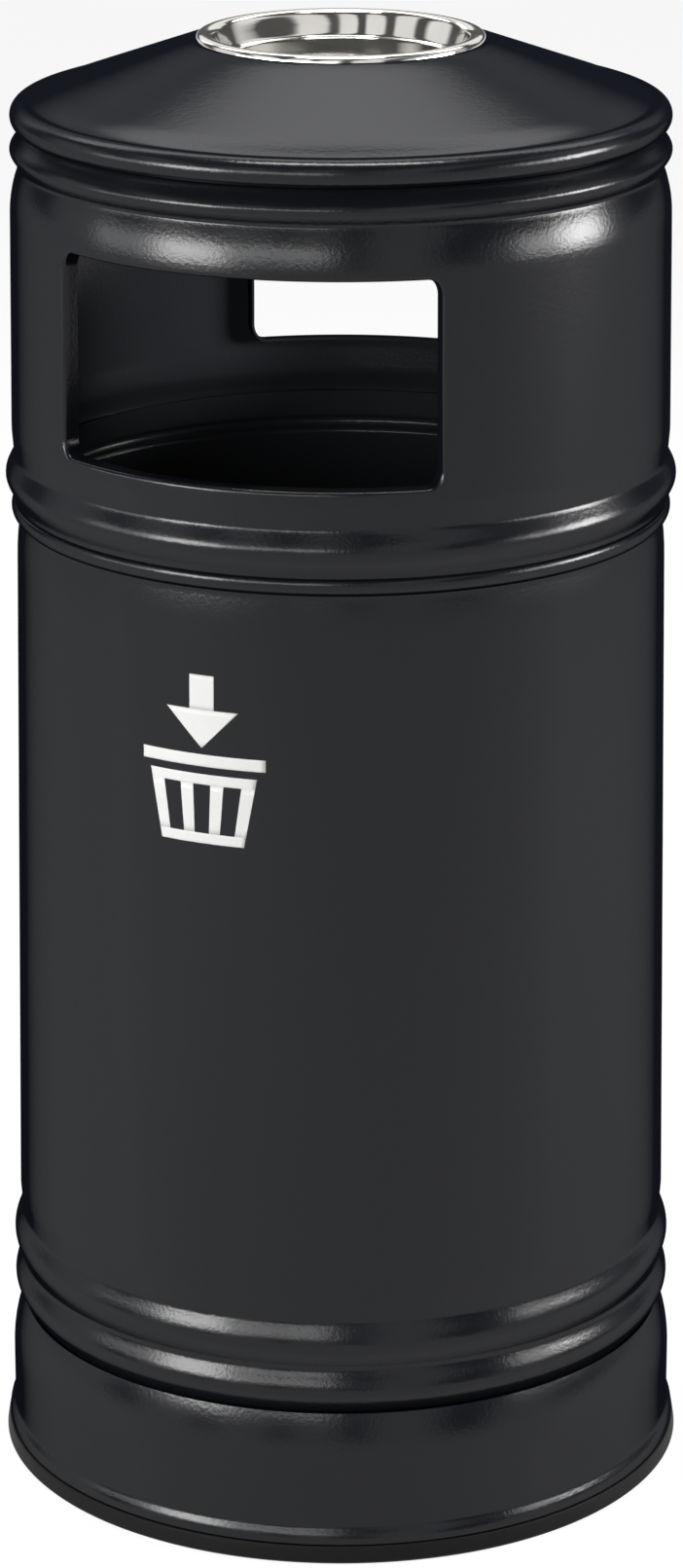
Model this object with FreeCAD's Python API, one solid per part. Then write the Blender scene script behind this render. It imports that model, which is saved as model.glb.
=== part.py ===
import FreeCAD, Part
import math
import os

# Outdoor litter bin of beaded sheet steel: a round body on a skirt and foot ring, a lift-off hood
# with two flanged apertures and a conical top, a lift-out ash bowl, and a liner with a bail handle.
# Millimetres, +Z up, origin on the ground in the middle, front towards -Y.
# Outlines are the outer surface of a sheet, drawn from the bottom up, and the sheet lies inside them.

Vector = FreeCAD.Vector

# Sheets, fits and cuts
sheet = 1.5                   # painted steel of body, skirt and hood
hood_clearance = 0.4          # hood lip round the body's neck
weld_gap = 0.4                # between rolled sheets that are riveted or welded
rivet_gap = 0.15              # rivet heads over curved walls, and shanks in their holes
overrun = 5.0                 # how far a cut runs past what it cuts

# Foot ring, skirt and floor
foot_height = 11.0
foot_rim = 1.9                # ring beyond the skirt's hem, at the ground
foot_lip = 0.5                # ring beyond the skirt's hem, at its top
foot_chamfer = 2.0
foot_width = 16.0
skirt_height = 89.8           # top of the shoulder, above the ground
skirt_step = 5.7              # skirt wall outside the body's foot
shoulder_height = 37.8
shoulder_rise = 2.6
shoulder_inset = 3.4          # top of the shoulder inside the body's wall
hem_step = 3.2                # hem outside the skirt wall
hem_height = 10.0
hem_straight = 3.5
hem_rise = 0.6
floor_flange = 18.8
floor_bend = 4.0
pan_flange = 14.0
pan_bend = 5.5
pan_gap = 0.6
anchor_circle = 240.0         # ground fixing holes
anchor_hole = 12.0
anchor_count = 4
drain_circle = 120.0
drain_hole = 8.0
drain_count = 4
base_rivet_count = 8
base_rivet_edge = 5.5         # rivet circle outside the flange's inner edge

# Body
body_top_radius = 189.0       # under the top bead
body_taper = 5.4              # body wider by this above the lower beads
seat_height = 589.6           # ledge that carries the hood
top_bead_height = 9.7
top_bead_rise = 2.7
ledge_overhang = 1.0
neck_height = 16.0
neck_curl = 1.0
neck_bend = 1.8
lower_bead_heights = (27.4, 29.6)
lower_bead_rises = (5.8, 4.4)
crease_dip = 1.3              # creases beside the beads are drawn in a little
crease_run = 14.0
top_dip = 0.7                 # and so is the wall under the top bead
top_run = 22.0
top_hollow = 0.15
foot_crease = 2.6             # lowest crease inside the others
foot_inset = 4.3              # body stands inside the skirt's lip
foot_groove = 1.2

# Hood
lip_inset = 1.7               # hood lip inside the body's top radius
lip_height = 2.0
hood_overhang = 2.2           # hood wall outside the body's top radius
hood_draft = 1.6              # hood wall narrows by this from bottom to top
hood_bead_height = 25.9
hood_bead_rise = 6.3
aperture_sill = 49.7          # above the ledge
aperture_height = 116.4
aperture_half_angle = 35.75   # degrees each side of the front and of the back
aperture_corner = 10.0
aperture_flange = 10.0        # depth of the turned-in edge
aperture_edge = 2.4           # rounding where the wall turns in
aperture_head = 2.5
cap_shoulder_height = 26.6
cap_shoulder_rise = 0.5
cap_groove = 5.6              # groove over the shoulder
upper_bead_height = 19.7
upper_bead_rise = 8.0
seam_inset = 5.4              # seam with the cone inside the groove
seam_step = 1.2
lap_width = 15.0              # flanges that join wall and cone
hood_rivet_count = 8

# Cone
rim_roll_height = 15.4
rim_roll_rise = 10.9
rim_roll_inset = 0.9          # roll's top inside its foot
band_width = 11.5             # steeper band at the cone's edge
band_drop = 5.8
cone_height = 28.7
land_margin = 2.5
collar_depth = 9.0
collar_bend = 2.5
collar_gap = 2.2

# Ash bowl
bowl_sheet = 1.0
bowl_rim_radius = 82.5
bowl_rim_height = 3.5
bowl_rim_width = 8.0
bowl_rim_bend = 1.6
bowl_depth = 14.8
bowl_draft = 5.0
bowl_bend = 4.0

# Liner and bail
liner_sheet = 1.0
liner_clearance = 15.0        # liner rim inside the neck's curl
liner_drop = 51.5             # liner rim under the ledge
liner_draft = 9.0
liner_roll = 5.0
liner_bend = 3.0
liner_foot = 10.0             # turned-in foot of the liner
liner_floor_rise = 12.0
liner_floor_inset = 2.6
ear_sheet = 2.5
ear_width = 24.0
ear_length = 46.0             # strap under the rim
ear_top = 9.0                 # above the pin
bail_wire = 5.0
bail_fit = 0.08
bail_rest = 0.3
bail_ear_gap = 1.0
bail_bend = 5.0
bail_tip = 5.0
ear_rivet_heights = (14.0, 34.0)    # under the rim
rivet_shank = 5.0
rivet_head = 10.0
rivet_head_height = 2.2

# Radii worked out
body_foot_radius = body_top_radius + body_taper
skirt_radius = body_foot_radius + skirt_step
hem_radius = skirt_radius + hem_step
shoulder_radius = body_foot_radius - shoulder_inset
crease_radius = body_foot_radius - crease_dip
foot_crease_radius = crease_radius - foot_crease
foot_radius = crease_radius - foot_inset
flange_radius = foot_radius - floor_flange
base_rivet_radius = flange_radius + base_rivet_edge
top_crease_radius = body_top_radius - top_dip
lip_radius = body_top_radius - lip_inset
ledge_radius = body_top_radius + ledge_overhang
neck_radius = lip_radius - sheet - hood_clearance
curl_radius = neck_radius - sheet - neck_curl
hood_foot_radius = body_top_radius + hood_overhang
hood_top_radius = hood_foot_radius - hood_draft
groove_radius = hood_top_radius - cap_groove
roll_radius = groove_radius - seam_inset
lap_radius = roll_radius - lap_width
hood_rivet_radius = roll_radius - lap_width / 2
band_radius = roll_radius - rim_roll_inset
cone_radius = band_radius - band_width
land_radius = bowl_rim_radius + land_margin
bowl_wall_radius = bowl_rim_radius - bowl_rim_width
collar_radius = bowl_wall_radius + collar_gap
liner_rim_radius = curl_radius - liner_clearance
liner_radius = liner_rim_radius - liner_sheet - liner_roll
liner_foot_radius = liner_radius - liner_draft
wire_radius = bail_wire / 2

# Heights worked out
skirt_floor = foot_height
body_floor = skirt_floor + sheet
pan_floor = body_floor + sheet
liner_floor = pan_floor + sheet
bead_foot = skirt_height + foot_groove
bead_top = bead_foot + sum(lower_bead_heights)
neck_top = seat_height + neck_height
hood_bead_foot = seat_height + lip_height
hood_bead_top = hood_bead_foot + hood_bead_height
aperture_low = seat_height + aperture_sill
aperture_high = aperture_low + aperture_height
cap_foot = aperture_high + aperture_head
cap_top = cap_foot + cap_shoulder_height
upper_bead_top = cap_top + upper_bead_height
seam_height = upper_bead_top + seam_step
roll_top = seam_height + rim_roll_height
cone_foot = roll_top + band_drop
land_height = cone_foot + cone_height
bowl_top = land_height + bowl_rim_height
liner_top = seat_height - liner_drop
pin_height = liner_top + bail_rest + wire_radius

axis_base = Vector(0, 0, 0)
axis_up = Vector(0, 0, 1)
axis_right = Vector(1, 0, 0)


# A point of an outline, in the plane that is turned about the axis
def at(radius, height):
    return Vector(radius, 0, height)


# Straight runs through the corners; a corner's third value is its bend radius
def bent(*corners):
    edges = []
    start = at(*corners[0][:2])
    for here, following in zip(corners[1:], corners[2:] + (None,)):
        corner = at(*here[:2])
        if following is None or len(here) == 2:
            edges.append(Part.LineSegment(start, corner).toShape())
            start = corner
            continue
        back = (start - corner).normalize()
        onward = (at(*following[:2]) - corner).normalize()
        half = back.getAngle(onward) / 2
        inner = (back + onward).normalize()
        arc_start = corner + back * (here[2] / math.tan(half))
        arc_end = corner + onward * (here[2] / math.tan(half))
        arc_middle = corner + inner * (here[2] / math.sin(half) - here[2])
        edges.append(Part.LineSegment(start, arc_start).toShape())
        edges.append(Part.Arc(arc_start, arc_middle, arc_end).toShape())
        start = arc_end
    return edges


# One bead: an arc from one crease to the next that stands out by its rise
def bead(foot, top, rise):
    start = at(*foot)
    end = at(*top)
    run = end - start
    outward = Vector(run.z, 0, -run.x).normalize()
    return [Part.Arc(start, (start + end) * 0.5 + outward * rise, end).toShape()]


# A sheet of even thickness inside an outline, turned about the axis
def spun_sheet(edges, thickness):
    section = Part.Wire(edges).makeOffset2D(thickness, 0, True, True, False)
    return section.Faces[0].revolve(axis_base, axis_up, 360)


# A full section turned about the axis
def spun_solid(corners, angle=360):
    edges = bent(*corners, corners[0])
    return Part.Face(Part.Wire(edges)).revolve(axis_base, axis_up, angle)


# Copies of a solid spaced evenly about the axis
def round_pattern(solid, count, first_angle):
    copies = []
    for index in range(count):
        copy = solid.copy()
        copy.rotate(axis_base, axis_up, first_angle + 360 / count * index)
        copies.append(copy)
    return copies


# Upright rivet with a head under and over the sheets that it holds
def rivet(low, high):
    lower_head = Part.makeCylinder(rivet_head / 2, rivet_head_height, Vector(0, 0, low - rivet_head_height))
    shank = Part.makeCylinder(rivet_shank / 2, high - low, Vector(0, 0, low))
    upper_head = Part.makeCylinder(rivet_head / 2, rivet_head_height, Vector(0, 0, high))
    return lower_head.fuse([shank, upper_head]).removeSplitter()


# Upright drills on a circle, for holes through flat sheets
def drills(circle_radius, hole_radius, low, high, count, first_angle):
    drill = Part.makeCylinder(hole_radius, high - low + 2 * overrun, Vector(circle_radius, 0, low - overrun))
    return round_pattern(drill, count, first_angle)


def base_rivet_drills():
    hole = rivet_shank / 2 + rivet_gap
    return drills(base_rivet_radius, hole, skirt_floor, liner_floor, base_rivet_count, 0)


def hood_rivet_drills():
    hole = rivet_shank / 2 + rivet_gap
    return drills(hood_rivet_radius, hole, seam_height, seam_height, hood_rivet_count, 0)


# Foot ring: wide flat underside, chamfered at the ground, drawn in towards the hem
def make_foot_ring():
    ground_radius = hem_radius + foot_rim
    return spun_solid((
        (hem_radius - foot_width, 0),
        (ground_radius - foot_chamfer, 0),
        (ground_radius, foot_chamfer),
        (hem_radius + foot_lip, foot_height),
        (hem_radius - foot_width, foot_height),
    ))


# Skirt: flange on the foot ring, flared hem, plain wall and a rounded shoulder up to the body
def make_base_skirt():
    hem_top = skirt_floor + hem_height
    shoulder_foot = skirt_height - shoulder_height
    edges = bent(
        (flange_radius, skirt_floor),
        (hem_radius, skirt_floor),
        (hem_radius, skirt_floor + hem_straight),
    )
    edges += bead((hem_radius, skirt_floor + hem_straight), (skirt_radius, hem_top), hem_rise)
    edges += bent((skirt_radius, hem_top), (skirt_radius, shoulder_foot))
    edges += bead((skirt_radius, shoulder_foot), (shoulder_radius, skirt_height), shoulder_rise)
    return spun_sheet(edges, sheet).cut(base_rivet_drills())


# Body: flanged foot, lower beads, slightly tapered wall, top bead with its ledge, and curled neck
def make_body_shell():
    edges = bent(
        (flange_radius, body_floor),
        (foot_radius, body_floor, floor_bend),
        (foot_radius, skirt_height),
        (foot_crease_radius, bead_foot),
    )
    foot = (foot_crease_radius, bead_foot)
    for height, rise in zip(lower_bead_heights, lower_bead_rises):
        top = (crease_radius, foot[1] + height)
        edges += bead(foot, top, rise)
        foot = top
    bead_crease = seat_height - top_bead_height
    edges += bent(
        foot,
        (body_foot_radius, bead_top + crease_run),
        (body_top_radius, bead_crease - top_run),
    )
    edges += bead((body_top_radius, bead_crease - top_run), (top_crease_radius, bead_crease), -top_hollow)
    edges += bead((top_crease_radius, bead_crease), (ledge_radius, seat_height), top_bead_rise)
    edges += bent(
        (ledge_radius, seat_height),
        (neck_radius, seat_height),
        (neck_radius, neck_top, neck_bend),
        (curl_radius, neck_top),
    )
    return spun_sheet(edges, sheet).cut(base_rivet_drills())


# Floor pan: disc with an upturned edge, ground fixing holes and drain holes
def make_base_pan():
    pan_radius = foot_radius - sheet - pan_gap
    edges = bent((0, pan_floor), (pan_radius, pan_floor, pan_bend), (pan_radius, pan_floor + pan_flange))
    pan = spun_sheet(edges, sheet)
    pan = pan.cut(drills(anchor_circle / 2, anchor_hole / 2, pan_floor, liner_floor, anchor_count, 45))
    pan = pan.cut(drills(drain_circle / 2, drain_hole / 2, pan_floor, liner_floor, drain_count, 0))
    return pan.cut(base_rivet_drills())


def make_base_rivets():
    one = rivet(skirt_floor, liner_floor)
    one.translate(Vector(base_rivet_radius, 0, 0))
    return Part.makeCompound(round_pattern(one, base_rivet_count, 0))


# Outside radius of the tapered hood wall at a height
def hood_radius_at(height):
    share = (height - hood_bead_top) / (cap_foot - hood_bead_top)
    return hood_foot_radius - hood_draft * share


# Rounded rectangle across an aperture at a distance from the axis, its sides on radial planes
def aperture_outline(distance, grow):
    half_angle = math.radians(aperture_half_angle)
    half = distance * math.tan(half_angle) + grow / math.cos(half_angle)
    low = aperture_low - grow
    high = aperture_high + grow
    corner = aperture_corner + grow
    diagonal = corner * (1 - math.sqrt(0.5))
    y = -distance
    turns = []
    for side_x, side_z in ((1, -1), (1, 1), (-1, 1), (-1, -1)):
        x = side_x * half
        z = high if side_z > 0 else low
        along = Vector(x - side_x * corner, y, z)
        across = Vector(x, y, z - side_z * corner)
        middle = Vector(x - side_x * diagonal, y, z - side_z * diagonal)
        forward = side_x * side_z < 0
        turns.append((along, middle, across) if forward else (across, middle, along))
    edges = []
    for turn, following in zip(turns, turns[1:] + turns[:1]):
        edges.append(Part.Arc(*turn).toShape())
        edges.append(Part.LineSegment(turn[2], following[0]).toShape())
    return Part.Wire(edges)


# Wedge-sided block through one aperture, grown by an amount on every side
def aperture_block(grow):
    inner = (hood_top_radius - aperture_flange) * math.cos(math.radians(aperture_half_angle)) - overrun
    outer = hood_foot_radius + overrun
    return Part.makeLoft([aperture_outline(inner, grow), aperture_outline(outer, grow)], True, True)


# The edge of an aperture where it meets the outside of the wall
def on_aperture_edge(edge):
    for parameter in edge.ParameterRange:
        place = edge.valueAt(parameter)
        if not aperture_low - sheet < place.z < aperture_high + sheet:
            return False
        if abs(math.hypot(place.x, place.y) - hood_radius_at(place.z)) > sheet / 10:
            return False
        if abs(place.y) < hood_top_radius * math.cos(math.radians(aperture_half_angle)) - sheet:
            return False
    return True


# Hood wall: large bead over the ledge, tapered wall with two turned-in apertures, rounded shoulder,
# groove, upper bead, and the flange that carries the cone
def make_hood_wall():
    edges = bent((lip_radius, seat_height), (lip_radius, hood_bead_foot))
    crease = hood_foot_radius - crease_dip
    edges += bead((lip_radius, hood_bead_foot), (crease, hood_bead_top), hood_bead_rise)
    edges += bent(
        (crease, hood_bead_top),
        (hood_radius_at(hood_bead_top + crease_run), hood_bead_top + crease_run),
        (hood_top_radius, cap_foot),
    )
    edges += bead((hood_top_radius, cap_foot), (groove_radius, cap_top), cap_shoulder_rise)
    edges += bead((groove_radius, cap_top), (roll_radius, upper_bead_top), upper_bead_rise)
    edges += bent((roll_radius, upper_bead_top), (roll_radius, seam_height), (lap_radius, seam_height))
    wall = spun_sheet(edges, sheet)

    low = aperture_low - 2 * sheet
    high = aperture_high + 2 * sheet
    band = spun_solid((
        (hood_radius_at(low) - aperture_flange, low),
        (hood_radius_at(low) - sheet / 2, low),
        (hood_radius_at(high) - sheet / 2, high),
        (hood_radius_at(high) - aperture_flange, high),
    ))
    opening = aperture_block(0)
    flange = aperture_block(sheet).common(band)
    openings = round_pattern(opening, 2, 0)
    flanges = round_pattern(flange, 2, 0)
    wall = wall.fuse(flanges).cut(openings).removeSplitter()
    rims = [edge for edge in wall.Edges if on_aperture_edge(edge)]
    wall = wall.makeFillet(aperture_edge, rims)
    return wall.cut(hood_rivet_drills())


# Cone: flange on the wall, rolled rim, steeper band, cone, flat land and collar for the ash bowl
def make_hood_cone():
    edges = bent((lap_radius, seam_height), (roll_radius, seam_height))
    edges += bead((roll_radius, seam_height), (band_radius, roll_top), rim_roll_rise)
    edges += bent(
        (band_radius, roll_top),
        (cone_radius, cone_foot),
        (land_radius, land_height),
        (collar_radius, land_height, collar_bend),
        (collar_radius, land_height - collar_depth),
    )
    return spun_sheet(edges, sheet).cut(hood_rivet_drills())


def make_hood_rivets():
    one = rivet(seam_height - sheet, seam_height + sheet)
    one.translate(Vector(hood_rivet_radius, 0, 0))
    return Part.makeCompound(round_pattern(one, hood_rivet_count, 0))


# Ash bowl: flat floor, tapered wall and a broad rim whose turned-down edge stands on the land
def make_ash_bowl():
    rim_under = bowl_top - bowl_sheet
    floor_under = bowl_top - bowl_depth - bowl_sheet
    edge_radius = bowl_rim_radius - bowl_sheet
    edges = bent(
        (0, floor_under),
        (bowl_wall_radius - bowl_draft, floor_under, bowl_bend),
        (bowl_wall_radius, rim_under, bowl_rim_bend),
        (edge_radius, rim_under, bowl_rim_bend),
        (edge_radius, land_height),
    )
    return spun_sheet(edges, bowl_sheet)


# Outside radius of the tapered liner wall at a height
def liner_radius_at(height):
    share = (height - liner_floor) / (liner_top - liner_sheet - liner_floor)
    return liner_foot_radius + liner_draft * share


# Crosswise drills for the ear rivets, through both sides of the liner
def ear_rivet_drills():
    reach = 2 * (liner_rim_radius + overrun)
    start = -liner_rim_radius - overrun
    hole = rivet_shank / 2 + rivet_gap
    return [
        Part.makeCylinder(hole, reach, Vector(start, 0, liner_top - below), axis_right)
        for below in ear_rivet_heights
    ]


# Liner wall: turned-in foot, tapered wall and a rim turned out and down
def make_liner_shell():
    rim_under = liner_top - liner_sheet
    edge_radius = liner_rim_radius - liner_sheet
    edges = bent(
        (liner_foot_radius - liner_foot, liner_floor),
        (liner_foot_radius, liner_floor, liner_bend),
        (liner_radius, rim_under, liner_roll / 3),
        (edge_radius, rim_under, liner_roll / 3),
        (edge_radius, rim_under - liner_roll),
    )
    return spun_sheet(edges, liner_sheet).cut(ear_rivet_drills())


# Liner floor: raised disc whose turned-down edge stands on the liner's foot
def make_liner_base():
    edge_radius = liner_foot_radius - 2 * liner_sheet - liner_floor_inset
    edges = bent(
        (0, liner_floor + liner_floor_rise),
        (edge_radius, liner_floor + liner_floor_rise, liner_bend),
        (edge_radius, liner_floor + liner_sheet),
    )
    return spun_sheet(edges, liner_sheet)


# Radius of the outer face of an ear at a height, just inside the liner wall
def ear_radius_at(height):
    return liner_radius_at(height) - liner_sheet - weld_gap


# Ear: curved strap inside the wall with a round top and the pin's hole; side is 1 right, -1 left
def make_bail_ear(side):
    low = liner_top - ear_length
    high = pin_height + ear_top
    strap = spun_solid((
        (ear_radius_at(low) - ear_sheet, low),
        (ear_radius_at(low), low),
        (ear_radius_at(high), high),
        (ear_radius_at(high) - ear_sheet, high),
    ))
    half = ear_width / 2
    round_start = high - half
    tab = Part.Face(Part.Wire([
        Part.LineSegment(Vector(0, -half, low), Vector(0, half, low)).toShape(),
        Part.LineSegment(Vector(0, half, low), Vector(0, half, round_start)).toShape(),
        Part.Arc(Vector(0, half, round_start), Vector(0, 0, high), Vector(0, -half, round_start)).toShape(),
        Part.LineSegment(Vector(0, -half, round_start), Vector(0, -half, low)).toShape(),
    ]))
    ear = strap.common(tab.extrude(axis_right * (side * liner_rim_radius)))
    hole_start = Vector(-liner_rim_radius, 0, pin_height)
    hole = Part.makeCylinder(wire_radius + bail_fit, 2 * liner_rim_radius, hole_start, axis_right)
    return ear.cut([hole] + ear_rivet_drills())


# Rivets that hold the ears, one row on each side of the liner
def make_ear_rivets():
    rivets = []
    for below in ear_rivet_heights:
        height = liner_top - below
        inner = ear_radius_at(height) - ear_sheet - rivet_gap
        outer = liner_radius_at(height) + rivet_gap
        right = rivet(inner, outer)
        right.rotate(axis_base, Vector(0, 1, 0), 90)
        right.translate(Vector(0, 0, height))
        rivets += round_pattern(right, 2, 0)
    return Part.makeCompound(rivets)


# Bail: wire from a pin in one ear, round the front of the rim, to a pin in the other
def make_bail_handle():
    ear_face = ear_radius_at(pin_height)
    tip = ear_face - ear_sheet - bail_tip
    straight = ear_face + bail_ear_gap
    side = straight + bail_bend
    inset = bail_bend * (1 - math.sqrt(0.5))
    corners = []
    for sign in (-1, 1):
        corners.append((
            Vector(sign * tip, 0, pin_height),
            Vector(sign * straight, 0, pin_height),
            Vector(sign * (side - inset), -inset, pin_height),
            Vector(sign * side, -bail_bend, pin_height),
        ))
    left, right = corners
    path = Part.Wire([
        Part.LineSegment(left[0], left[1]).toShape(),
        Part.Arc(left[1], left[2], left[3]).toShape(),
        Part.Arc(left[3], Vector(0, -bail_bend - side, pin_height), right[3]).toShape(),
        Part.Arc(right[3], right[2], right[1]).toShape(),
        Part.LineSegment(right[1], right[0]).toShape(),
    ])
    section = Part.Wire(Part.makeCircle(wire_radius, left[0], axis_right))
    return path.makePipeShell([section], True, True)


parts = {
    "foot_ring": make_foot_ring(),
    "base_skirt": make_base_skirt(),
    "body_shell": make_body_shell(),
    "base_pan": make_base_pan(),
    "base_rivets": make_base_rivets(),
    "hood_wall": make_hood_wall(),
    "hood_cone": make_hood_cone(),
    "hood_rivets": make_hood_rivets(),
    "ash_bowl": make_ash_bowl(),
    "liner_shell": make_liner_shell(),
    "liner_base": make_liner_base(),
    "bail_ear_left": make_bail_ear(-1),
    "bail_ear_right": make_bail_ear(1),
    "ear_rivets": make_ear_rivets(),
    "bail_handle": make_bail_handle(),
}

os.makedirs("parts", exist_ok=True)
for name, shape in parts.items():
    shape.exportStep("parts/" + name + ".step")
    print(name, "solids", len(shape.Solids), "volume", round(shape.Volume), "valid", shape.isValid())
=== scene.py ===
import bmesh
import bpy
import math
import numpy as np
from mathutils import Matrix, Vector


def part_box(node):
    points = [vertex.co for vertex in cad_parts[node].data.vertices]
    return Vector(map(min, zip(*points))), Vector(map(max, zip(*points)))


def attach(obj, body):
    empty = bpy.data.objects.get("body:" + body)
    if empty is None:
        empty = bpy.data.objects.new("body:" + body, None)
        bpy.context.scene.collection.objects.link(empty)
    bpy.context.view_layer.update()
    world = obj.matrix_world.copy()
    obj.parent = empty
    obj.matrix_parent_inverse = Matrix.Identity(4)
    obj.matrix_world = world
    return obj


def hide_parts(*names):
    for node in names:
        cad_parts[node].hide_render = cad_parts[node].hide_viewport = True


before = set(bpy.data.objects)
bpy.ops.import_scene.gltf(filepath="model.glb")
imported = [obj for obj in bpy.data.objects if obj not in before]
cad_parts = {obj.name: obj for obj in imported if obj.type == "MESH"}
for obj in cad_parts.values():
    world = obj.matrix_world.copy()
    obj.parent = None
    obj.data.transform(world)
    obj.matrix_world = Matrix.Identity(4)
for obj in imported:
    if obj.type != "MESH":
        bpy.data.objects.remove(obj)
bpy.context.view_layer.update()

# Looks of a round litter bin for outdoors: black powder-coated body and hood, stainless ash bowl,
# galvanised liner. The pieces' dictionaries are in millimetres and degrees, the studio's in metres.
# Meshes are in metres. The front is towards -Y, and angles turn from there to +X.

mm = 0.001
turn = 2 * math.pi
shareIn, firstIn, secondIn, mixedOut = 0, 6, 7, 2  # sockets of a colour Mix node, which go by number


# Tools for materials


def linear(hexColour):  # sRGB hex to the linear colour that a socket takes
    parts = np.array([int(hexColour[i:i + 2], 16) for i in (1, 3, 5)]) / 255
    return (*np.where(parts <= 0.04045, parts / 12.92, ((parts + 0.055) / 1.055) ** 2.4), 1.0)


def perMetre(sizeMm):  # texture scale that makes one feature about this size
    return 1 / (sizeMm * mm)


def addNode(tree, kind, settings=None, links=None):  # a node with its settings and its incoming links
    node = tree.nodes.new(kind)
    for name, value in (settings or {}).items():
        if isinstance(name, str) and hasattr(node, name):
            setattr(node, name, value)
        else:
            node.inputs[name].default_value = value
    for name, source in (links or {}).items():
        tree.links.new(source, node.inputs[name])
    return node


def newMaterial(name):  # an empty material and its Object coordinates
    material = bpy.data.materials.new(name)
    material.use_nodes = True
    material.node_tree.nodes.clear()
    coords = addNode(material.node_tree, "ShaderNodeTexCoord").outputs["Object"]
    return material, material.node_tree, coords


def finishMaterial(tree, settings, links):  # the shader and its output
    shader = addNode(tree, "ShaderNodeBsdfPrincipled", settings, links)
    addNode(tree, "ShaderNodeOutputMaterial", links={"Surface": shader.outputs["BSDF"]})


# Materials


# Polyester powder coat, sprayed and baked: near black and satin, with a fine pebbled grain that breaks up
# highlights. The real grain is about 0.5 mm and is drawn coarser, so that it shows.
def blackPowderCoat():
    material, tree, coords = newMaterial("blackPowderCoat")
    grain = addNode(tree, "ShaderNodeTexNoise", {"Scale": perMetre(2.2), "Detail": 2.0, "Roughness": 0.6},
                    {"Vector": coords}).outputs["Fac"]
    peel = addNode(tree, "ShaderNodeTexNoise", {"Scale": perMetre(7.0), "Detail": 1.0},
                   {"Vector": coords}).outputs["Fac"]
    cloud = addNode(tree, "ShaderNodeTexNoise", {"Scale": perMetre(90.0), "Detail": 3.0},
                    {"Vector": coords}).outputs["Fac"]
    height = addNode(tree, "ShaderNodeMix", {"data_type": "FLOAT", shareIn: 0.25},
                     {2: grain, 3: peel}).outputs[0]  # 2 and 3 take plain numbers
    bump = addNode(tree, "ShaderNodeBump", {"Strength": 0.7, "Distance": 0.22 * mm},
                   {"Height": height}).outputs["Normal"]
    tone = addNode(tree, "ShaderNodeMix",
                   {"data_type": "RGBA", firstIn: linear("#090a0f"), secondIn: linear("#111318")},
                   {shareIn: grain}).outputs[mixedOut]
    # Painted light: faces that turn towards the axis, inside the hood and body, are mixed towards a paler
    # grey. This stands in for light reaching in there, not for a real difference in the coat.
    level = addNode(tree, "ShaderNodeVectorMath", {"operation": "MULTIPLY", 1: (1.0, 1.0, 0.0)}, {0: coords})
    outward = addNode(tree, "ShaderNodeVectorMath", {"operation": "NORMALIZE"}, {0: level.outputs["Vector"]})
    normal = addNode(tree, "ShaderNodeTexCoord").outputs["Normal"]
    turned = addNode(tree, "ShaderNodeVectorMath", {"operation": "DOT_PRODUCT"},
                     {0: outward.outputs["Vector"], 1: normal}).outputs["Value"]
    inside = addNode(tree, "ShaderNodeMapRange", {"From Min": -0.1, "From Max": -0.5},
                     {"Value": turned}).outputs["Result"]
    paintedInnerLight = addNode(tree, "ShaderNodeMix", {"data_type": "RGBA", secondIn: linear("#393b3f")},
                        {shareIn: inside, firstIn: tone}).outputs[mixedOut]  # painted light: faces towards the axis paler grey, standing in for light inside the hood and body
    gloss = addNode(tree, "ShaderNodeMapRange",
                    {"From Min": 0.3, "From Max": 0.7, "To Min": 0.4, "To Max": 0.5},
                    {"Value": cloud}).outputs["Result"]
    facing = addNode(tree, "ShaderNodeLayerWeight", {"Blend": 0.5}).outputs["Facing"]
    glaze = addNode(tree, "ShaderNodeMapRange",
                    {"From Min": 0.3, "From Max": 0.8, "To Min": 0.56, "To Max": 0.0},
                    {"Value": facing}).outputs["Result"]  # seen flat, the grains shade each other
    finishMaterial(tree, {"IOR": 1.5, "Specular IOR Level": 0.0, "Coat Roughness": 0.21}, {
        "Base Color": paintedInnerLight, "Roughness": gloss, "Normal": bump,
        "Coat Weight": glaze, "Coat Normal": bump})
    return material


# Stainless steel sheet, spun and buffed: a mirror with faint rings from the lathe and a little smear
def buffedStainless():
    material, tree, coords = newMaterial("buffedStainless")
    level = addNode(tree, "ShaderNodeVectorMath", {"operation": "MULTIPLY", 1: (1.0, 1.0, 0.0)}, {0: coords})
    radius = addNode(tree, "ShaderNodeVectorMath", {"operation": "LENGTH"},
                     {0: level.outputs["Vector"]}).outputs["Value"]
    rings = addNode(tree, "ShaderNodeTexNoise",
                    {"noise_dimensions": "1D", "Scale": perMetre(0.9), "Detail": 2.0},
                    {"W": radius}).outputs["Fac"]
    smear = addNode(tree, "ShaderNodeTexNoise", {"Scale": perMetre(30.0), "Detail": 3.0},
                    {"Vector": coords}).outputs["Fac"]
    bump = addNode(tree, "ShaderNodeBump", {"Strength": 0.12, "Distance": 0.1 * mm},
                   {"Height": rings}).outputs["Normal"]
    gloss = addNode(tree, "ShaderNodeMapRange",
                    {"From Min": 0.3, "From Max": 0.75, "To Min": 0.05, "To Max": 0.13},
                    {"Value": smear}).outputs["Result"]
    tone = addNode(tree, "ShaderNodeMix",
                   {"data_type": "RGBA", firstIn: linear("#e2e0db"), secondIn: linear("#cbc8c1")},
                   {shareIn: smear}).outputs[mixedOut]
    finishMaterial(tree, {"Metallic": 1.0}, {"Base Color": tone, "Roughness": gloss, "Normal": bump})
    return material


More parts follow.
